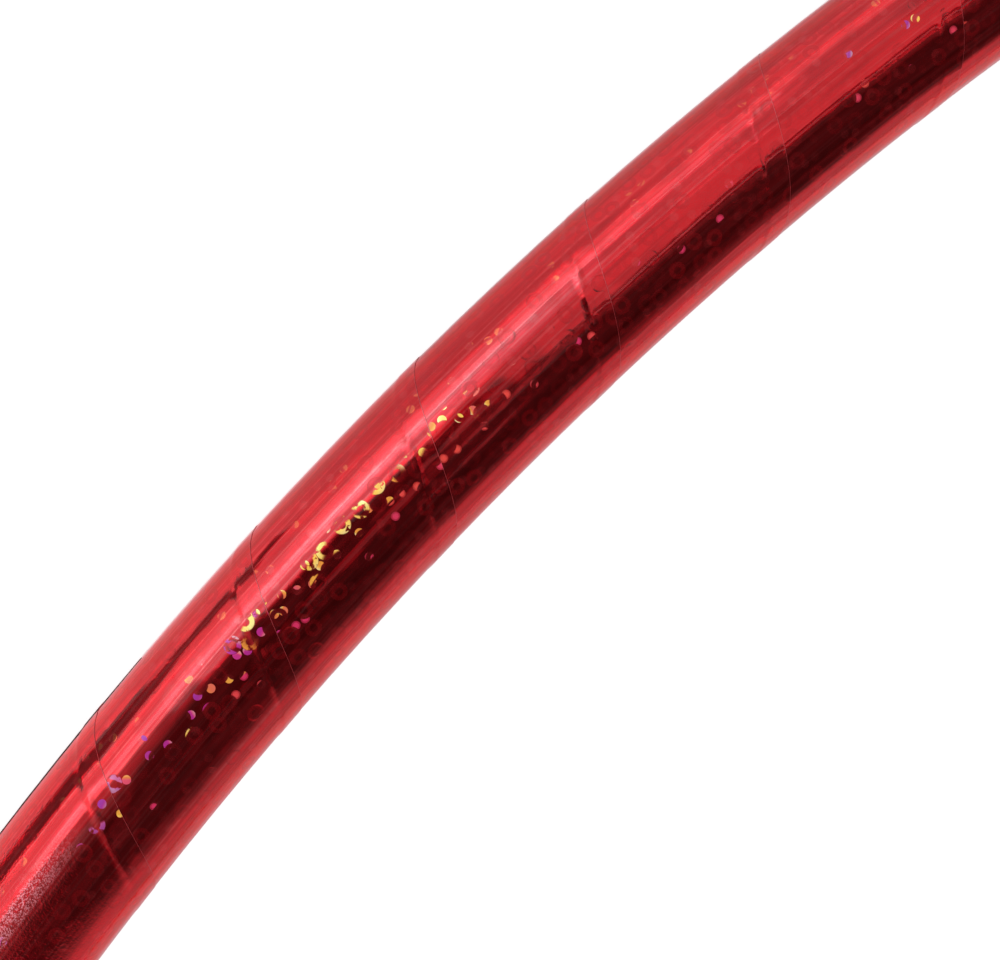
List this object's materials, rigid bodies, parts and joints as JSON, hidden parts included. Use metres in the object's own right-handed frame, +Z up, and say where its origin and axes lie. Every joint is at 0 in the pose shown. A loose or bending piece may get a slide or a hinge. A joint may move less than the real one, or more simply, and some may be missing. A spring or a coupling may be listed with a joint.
{
  "type": "rhythmic gymnastics hoop",
  "caption": "Round plastic hoop for rhythmic gymnastics, wound all the way round with lapped red holographic tape and closed by a barbed plug and pins inside its joint.",
  "frame": {"origin": "the hoop's centre, on the surface that it lies on", "axes": "+Z up along the hoop's axis, the tube's joint at +X"},
  "size_m": [0.9144, 0.9144, 0.0172],
  "materials": {
    "tape": "metallized red holographic film under a clear gloss face",
    "tube": "natural extruded plastic, satin",
    "plug": "moulded plastic, satin",
    "pin": "plain steel"
  },
  "bodies": {
    "root": {"holographic_tape": "tape", "hoop_tube": "tube", "joint_plug": "plug", "joint_pin_1": "pin", "joint_pin_2": "pin"}
  },
  "joints": []
}
